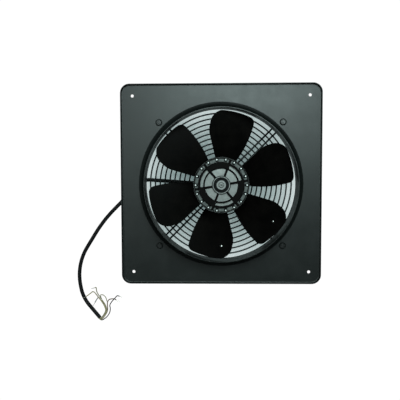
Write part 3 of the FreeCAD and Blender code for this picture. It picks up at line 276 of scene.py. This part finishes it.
def rotor_casting():
    """The bell's face: machined aluminium with a darker speckled tone along its rim, painted shade
    in the bearing recess and below the rim's pads, and painted highlights on the pin tops.
    """
    recipe = Recipe("rotor_casting")
    radius = recipe.axis_distance()
    depth = recipe.add("ShaderNodeSeparateXYZ", Vector=recipe.place).outputs[1]
    cloud = recipe.noise(70.0, 5.0)
    colour = recipe.blend(
        recipe.spread(cloud, 0.3, 0.7), rgb(0.155, 0.16, 0.155), rgb(0.21, 0.215, 0.21))
    speckle = recipe.spread(recipe.noise(260.0, 4.0, 0.7), 0.35, 0.65)
    # A darker speckled tone along the rim.
    on_rim = recipe.spread(radius, RIM_TONE_AND_PAINTED_LIGHT_START, RIM_TONE_AND_PAINTED_LIGHT_START + TONE_AND_PAINTED_LIGHT_FADE)
    rim_speckled_tone = recipe.math("MULTIPLY", on_rim, recipe.spread(speckle, 0.0, 1.0, 0.35, 0.85))
    colour = recipe.blend(rim_speckled_tone, colour, rgb(0.07, 0.08, 0.078))
    # Painted shade: the rim's surfaces deeper than the pad tops are coloured near black.
    below_pads_painted_shade = recipe.spread(depth, RIM_PAD_TOP, RIM_PAD_TOP + TONE_AND_PAINTED_LIGHT_FADE)
    colour = recipe.blend(
        recipe.math("MULTIPLY", on_rim, below_pads_painted_shade), colour, rgb(0.012, 0.013, 0.013))
    # Painted highlight: the pin tops nearest the front are coloured bright.
    pin_top_painted_highlight = recipe.spread(depth, PIN_TOP, PIN_TOP + TONE_AND_PAINTED_LIGHT_FADE, 1.0, 0.0)
    colour = recipe.blend(
        recipe.math("MULTIPLY", on_rim, pin_top_painted_highlight), colour, rgb(0.80, 0.82, 0.81))
    past_boss = recipe.spread(radius, RECESS_START - TONE_AND_PAINTED_LIGHT_FADE, RECESS_START)
    before_lip = recipe.spread(radius, RECESS_END, RECESS_END + TONE_AND_PAINTED_LIGHT_FADE, 1.0, 0.0)
    recess_painted_shade = recipe.math("MULTIPLY", past_boss, before_lip)
    # Painted shade: the bearing recess is coloured near black, without metal or shine.
    colour = recipe.blend(recess_painted_shade, colour, rgb(0.010, 0.011, 0.011))
    dull = recipe.math("MAXIMUM", recess_painted_shade, on_rim)
    phase = recipe.math("MULTIPLY", radius, math.tau / TURNING_PITCH)
    wobble = recipe.math("MULTIPLY", recipe.noise(120.0, 2.0), 2.0)
    rings = recipe.math("SINE", recipe.math("ADD", phase, wobble))
    normal = recipe.bump(rings, 0.15, 0.0001, recipe.bump(recipe.noise(900.0, 3.0), 0.18, 0.0002))
    recipe.set(
        Base_Color=colour, Roughness=recipe.spread(dull, 0.0, 1.0, 0.46, 0.62), Normal=normal,
        Metallic=recipe.spread(recess_painted_shade, 0.0, 1.0, 1.0, 0.0),
        Specular_IOR_Level=recipe.spread(recess_painted_shade, 0.0, 1.0, 0.5, 0.02))
    return recipe.material


def stacked_sheet(name, low, high, pitch):
    """The edges of thin stacked sheets, lined across the fan's axis."""
    recipe = Recipe(name)
    split = recipe.add("ShaderNodeSeparateXYZ", Vector=recipe.place)
    lines = recipe.math("SINE", recipe.math("MULTIPLY", split.outputs[1], math.tau / pitch))
    cloud = recipe.noise(120.0, 5.0)
    colour = recipe.blend(cloud, rgb(*low), rgb(*high))
    normal = recipe.bump(lines, 0.4, 0.0002)
    rough = recipe.spread(cloud, 0.3, 0.7, 0.45, 0.65)
    recipe.set(Base_Color=colour, Roughness=rough, Normal=normal, Metallic=0.9)
    return recipe.material


MATERIALS = {
    "plate_paint": painted_steel(
        "plate_paint", (0.0034, 0.0046, 0.0043), (0.0048, 0.0064, 0.0060), 0.36, 0.44, 0.5, 0.44,
        shade_nozzle=True),
    "guard_paint": painted_steel(
        "guard_paint", (0.0030, 0.0050, 0.0050), (0.0050, 0.0080, 0.0080), 0.40, 0.55, 0.3, 0.3),
    "hub_plastic": moulded_plastic(
        "hub_plastic", (0.0010, 0.0009, 0.0008), (0.0022, 0.0018, 0.0015), 0.50, 0.64, 0.05, 0.01),
    # Far lighter than the hub's plastic: a painted highlight on the hub's rim beads.
    "hub_rim_painted_highlight": moulded_plastic(
        "hub_rim_painted_highlight", (0.030, 0.034, 0.033), (0.060, 0.066, 0.064), 0.30, 0.42, 0.5, 0.02),
    "cast_aluminium": bare_metal(
        "cast_aluminium", (0.28, 0.29, 0.285), (0.37, 0.38, 0.375), 0.42, 0.58, 0.0009),
    "rotor_casting": rotor_casting(),
    "zinc_steel": bare_metal("zinc_steel", (0.52, 0.52, 0.50), (0.66, 0.66, 0.63), 0.28, 0.45),
    "dark_zinc": bare_metal("dark_zinc", (0.03, 0.03, 0.03), (0.07, 0.07, 0.07), 0.35, 0.5),
    "shaft_steel": bare_metal(
        "shaft_steel", (0.11, 0.115, 0.11), (0.17, 0.175, 0.17), 0.40, 0.55, 0.0018, 0.45),
    "bearing_steel": bare_metal(
        "bearing_steel", (0.62, 0.62, 0.63), (0.70, 0.70, 0.71), 0.14, 0.24, 0.0006),
    "lamination_steel": stacked_sheet(
        "lamination_steel", (0.20, 0.19, 0.19), (0.32, 0.31, 0.30), 0.0005),
    "copper": bare_metal("copper", (0.60, 0.24, 0.10), (0.76, 0.34, 0.16), 0.28, 0.42),
    "insulator_plastic": moulded_plastic(
        "insulator_plastic", (0.66, 0.62, 0.52), (0.74, 0.70, 0.60), 0.42, 0.58),
    "cable_jacket": moulded_plastic(
        "cable_jacket", (0.0035, 0.0035, 0.004), (0.006, 0.006, 0.0065), 0.46, 0.60, 0.14, 0.04),
    "wire_yellow_green": moulded_plastic(
        "wire_yellow_green", (0.26, 0.215, 0.11), (0.37, 0.31, 0.17), 0.35, 0.5),
    "wire_white": moulded_plastic(
        "wire_white", (0.36, 0.31, 0.22), (0.50, 0.44, 0.33), 0.35, 0.5),
    "wire_cream": moulded_plastic(
        "wire_cream", (0.24, 0.21, 0.13), (0.34, 0.30, 0.20), 0.35, 0.5),
    "wire_grey": moulded_plastic("wire_grey", (0.13, 0.14, 0.13), (0.2, 0.21, 0.2), 0.35, 0.5),
    "wire_black": moulded_plastic(
        "wire_black", (0.010, 0.010, 0.010), (0.02, 0.02, 0.02), 0.35, 0.5),
    "wire_brown": moulded_plastic(
        "wire_brown", (0.10, 0.055, 0.03), (0.15, 0.085, 0.045), 0.35, 0.5),
    "tinned_copper": bare_metal(
        "tinned_copper", (0.60, 0.56, 0.48), (0.72, 0.68, 0.60), 0.25, 0.4),
}


# Nodes whose finish is more than their slot's plain one.
SPECIAL_FINISHES = {
    "rotor_bell": "rotor_casting",
    "guard_nuts": "dark_zinc",
    "guard_screws": "dark_zinc",
    "shaft": "shaft_steel",
}


def dress_cad_nodes():
    """Give every CAD node the finish of its slot, or its own where it has one."""
    for entry in frame["record"]["subparts"]:
        piece = NODES[entry["node"]]
        piece.data.materials.clear()
        finish = SPECIAL_FINISHES.get(entry["node"], entry["material_slot"])
        piece.data.materials.append(MATERIALS[finish])


# ---------------------------------------------------------------- added detail
def bead_ring(name, radius, depth, thickness):
    """A thin round bead that runs round the fan's axis, as mesh."""
    builder = bmesh.new()
    rows = []
    for turn in range(BEAD_SIDES):
        angle = math.tau * turn / BEAD_SIDES
        row = []
        for step in range(BEAD_ACROSS):
            phase = math.tau * step / BEAD_ACROSS
            reach = radius + thickness * math.cos(phase)
            along = depth + thickness * math.sin(phase)
            place = (reach * math.sin(angle), along, reach * math.cos(angle))
            row.append(builder.verts.new(place))
        rows.append(row)
    for turn in range(BEAD_SIDES):
        near = rows[turn]
        far = rows[(turn + 1) % BEAD_SIDES]
        for step in range(BEAD_ACROSS):
            following = (step + 1) % BEAD_ACROSS
            face = builder.faces.new((near[step], near[following], far[following], far[step]))
            face.smooth = True
    bmesh.ops.recalc_face_normals(builder, faces=builder.faces)
    mesh = bpy.data.meshes.new(name)
    builder.to_mesh(mesh)
    builder.free()
    thing = bpy.data.objects.new(name, mesh)
    bpy.context.scene.collection.objects.link(thing)
    return thing


def build_hub_rim_beads():
    """Two fine moulded beads on the front edge of the impeller's hub, coloured far lighter than the
    hub as a painted highlight.
    """
    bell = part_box("rotor_bell")
    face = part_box("impeller")[0].y + HUB_RING_RISE
    for name, beyond in HUB_BEADS:
        bead = bead_ring(name, bell[1].x + beyond, face, HUB_BEAD_RADIUS)
        # Painted highlight: the beads take the light rim colour.
        bead.data.materials.append(MATERIALS["hub_rim_painted_highlight"])
        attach(bead, "rotor")


# ---------------------------------------------------------------- stage
def one_sided_white():
    """White in open view, shaded where the fan covers it, and clear from behind."""
    recipe = Recipe("backdrop_white")
    cloud = recipe.noise(3.0, 2.0)
    openness = recipe.add("ShaderNodeAmbientOcclusion", {"samples": 12}, Distance=BACKDROP_REACH)
    light = recipe.spread(openness.outputs["AO"], *BACKDROP_OPENNESS, 0.0, 1.0)
    tint = recipe.blend(light, rgb(0.62, 1.0, 0.99), rgb(1.0, 1.0, 1.0))
    tint = recipe.blend(recipe.math("MULTIPLY", cloud, 0.02), tint, rgb(0.97, 0.98, 0.98))
    glow = recipe.add("ShaderNodeEmission", Color=tint)
    recipe.feed(glow.inputs["Strength"], recipe.spread(light, 0.0, 1.0, *BACKDROP_GLOW))
    clear = recipe.add("ShaderNodeBsdfTransparent")
    facing = recipe.add("ShaderNodeNewGeometry").outputs["Backfacing"]
    mix = recipe.add("ShaderNodeMixShader")
    recipe.feed(mix.inputs[0], facing)
    recipe.join(glow.outputs[0], mix.inputs[1])
    recipe.join(clear.outputs[0], mix.inputs[2])
    recipe.join(mix.outputs[0], recipe.output.inputs["Surface"])
    return recipe.material


def floor_white():
    recipe = Recipe("floor_white")
    cloud = recipe.noise(3.0, 2.0)
    colour = recipe.blend(cloud, rgb(0.95, 0.79, 0.80), rgb(0.97, 0.81, 0.82))
    recipe.set(Base_Color=colour, Roughness=0.8)
    return recipe.material


def quad(name, corners, material):
    mesh = bpy.data.meshes.new(name)
    mesh.from_pydata([Vector(corner) for corner in corners], [], [(0, 1, 2, 3)])
    mesh.materials.append(material)
    thing = bpy.data.objects.new(name, mesh)
    bpy.context.scene.collection.objects.link(thing)
    return thing


def build_stage():
    back = cad_bounds[1].y + WALL_GAP
    reach = STAGE_REACH
    backdrop = quad("backdrop", [
        (-reach, back, FLOOR_LEVEL), (reach, back, FLOOR_LEVEL), (reach, back, reach),
        (-reach, back, reach)], one_sided_white())
    backdrop.visible_diffuse = False
    backdrop.visible_glossy = False
    backdrop.visible_shadow = False
    floor = quad("floor", [
        (-reach, -reach, FLOOR_LEVEL), (reach, -reach, FLOOR_LEVEL),
        (reach, reach, FLOOR_LEVEL), (-reach, reach, FLOOR_LEVEL)], floor_white())
    floor.visible_glossy = False


def area_light(name, place, size, power, colour):
    """A soft rectangular lamp aimed at the fan's centre."""
    data = bpy.data.lights.new(name, "AREA")
    data.shape = "RECTANGLE"
    data.size = size[0]
    data.size_y = size[1]
    data.energy = power
    data.color = colour
    lamp = bpy.data.objects.new(name, data)
    bpy.context.scene.collection.objects.link(lamp)
    lamp.location = place
    lamp.rotation_euler = (-Vector(place)).to_track_quat("-Z", "Y").to_euler()
    lamp.visible_camera = False


def build_world():
    """White to the camera; to the object a dim room in front and a brighter one behind."""
    world = bpy.data.worlds.new("studio")
    bpy.context.scene.world = world
    world.use_nodes = True
    tree = world.node_tree
    tree.nodes.clear()
    output = tree.nodes.new("ShaderNodeOutputWorld")
    mix = tree.nodes.new("ShaderNodeMixShader")
    path = tree.nodes.new("ShaderNodeLightPath")
    tree.links.new(path.outputs["Is Camera Ray"], mix.inputs[0])
    tree.links.new(mix.outputs[0], output.inputs["Surface"])
    place = tree.nodes.new("ShaderNodeTexCoord")
    split = tree.nodes.new("ShaderNodeSeparateXYZ")
    tree.links.new(place.outputs["Generated"], split.inputs[0])
    room = tree.nodes.new("ShaderNodeMapRange")
    tree.links.new(split.outputs[1], room.inputs["Value"])
    for name, number in (
            ("From Min", ROOM_TURN[0]), ("From Max", ROOM_TURN[1]), ("To Min", ROOM_IN_FRONT),
            ("To Max", ROOM_BEHIND)):
        room.inputs[name].default_value = number
    around = tree.nodes.new("ShaderNodeBackground")
    around.inputs["Color"].default_value = rgb(*ROOM_TINT)
    tree.links.new(room.outputs["Result"], around.inputs["Strength"])
    tree.links.new(around.outputs[0], mix.inputs[1])
    seen = tree.nodes.new("ShaderNodeBackground")
    seen.inputs["Color"].default_value = rgb(1.0, 1.0, 1.0)
    seen.inputs["Strength"].default_value = 1.0
    tree.links.new(seen.outputs[0], mix.inputs[2])


def build_lights():
    area_light("key_front_above", KEY_PLACE, KEY_SIZE, KEY_POWER, KEY_COLOUR)
    area_light("fill_left", FILL_PLACE, FILL_SIZE, FILL_POWER, FILL_COLOUR)
    build_world()


def build_camera():
    azimuth = math.radians(CAMERA_AZIMUTH)
    elevation = math.radians(CAMERA_ELEVATION)
    roll = math.radians(CAMERA_ROLL)
    back = Vector((
        math.sin(azimuth) * math.cos(elevation),
        -math.cos(azimuth) * math.cos(elevation),
        math.sin(elevation)))
    right = (-back).cross(Vector((0, 0, 1))).normalized()
    up = right.cross(-back)
    rolled_right = right * math.cos(roll) + up * math.sin(roll)
    rolled_up = up * math.cos(roll) - right * math.sin(roll)
    turn = Matrix((rolled_right, rolled_up, back)).transposed().to_4x4()
    data = bpy.data.cameras.new("camera")
    data.sensor_width = SENSOR_WIDTH
    data.lens = CAMERA_LENS
    camera = bpy.data.objects.new("camera", data)
    bpy.context.scene.collection.objects.link(camera)
    camera.matrix_world = Matrix.Translation(CAMERA_AIM + back * CAMERA_DISTANCE) @ turn
    bpy.context.scene.camera = camera


dress_cad_nodes()
build_hub_rim_beads()
build_stage()
build_lights()
build_camera()
bpy.context.scene.view_settings.view_transform = "Standard"
